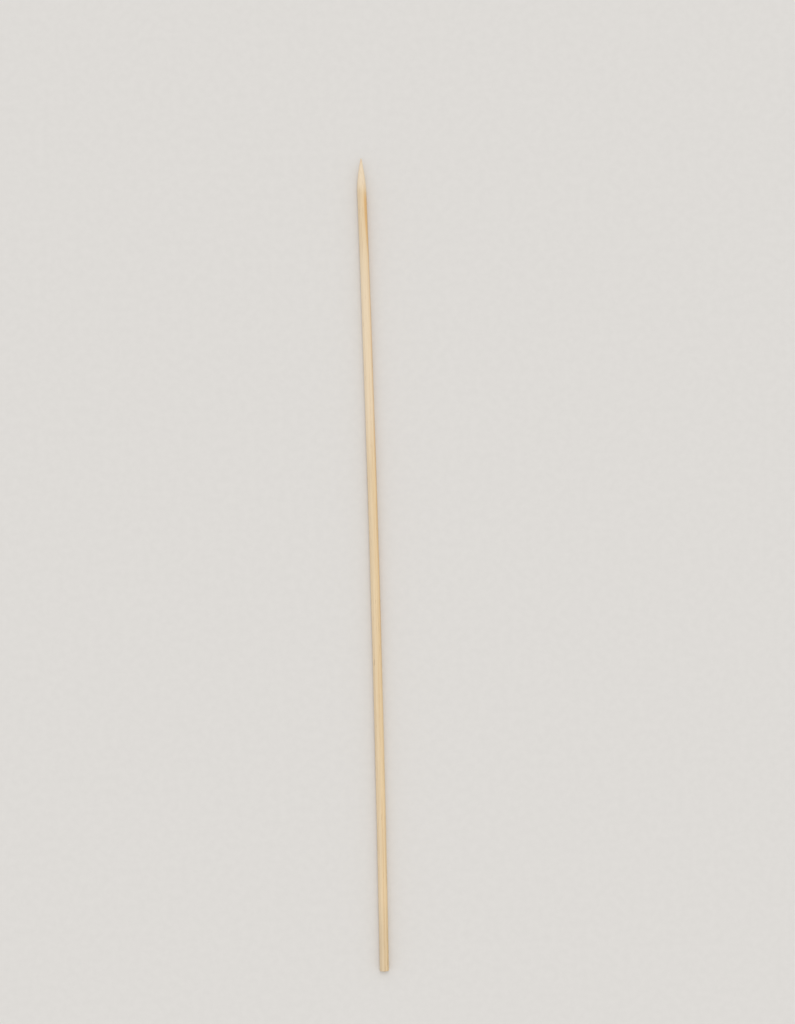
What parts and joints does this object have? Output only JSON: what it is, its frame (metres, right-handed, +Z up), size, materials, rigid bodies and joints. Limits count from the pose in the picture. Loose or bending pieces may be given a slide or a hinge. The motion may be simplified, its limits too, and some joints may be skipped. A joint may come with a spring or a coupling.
{
  "type": "wooden skewer",
  "caption": "Long round bamboo skewer with one end ground to a slim point and the other end sawn square.",
  "frame": {"origin": "on the surface that the stick lies on, under the middle of its length and width", "axes": "+Y along the stick towards the point, +Z up from the surface, +X to the side towards which the middle of the stick bows"},
  "size_m": [0.0064, 0.45, 0.005],
  "materials": {
    "bamboo": "matte"
  },
  "bodies": {
    "root": {"skewer": "bamboo"}
  },
  "joints": []
}
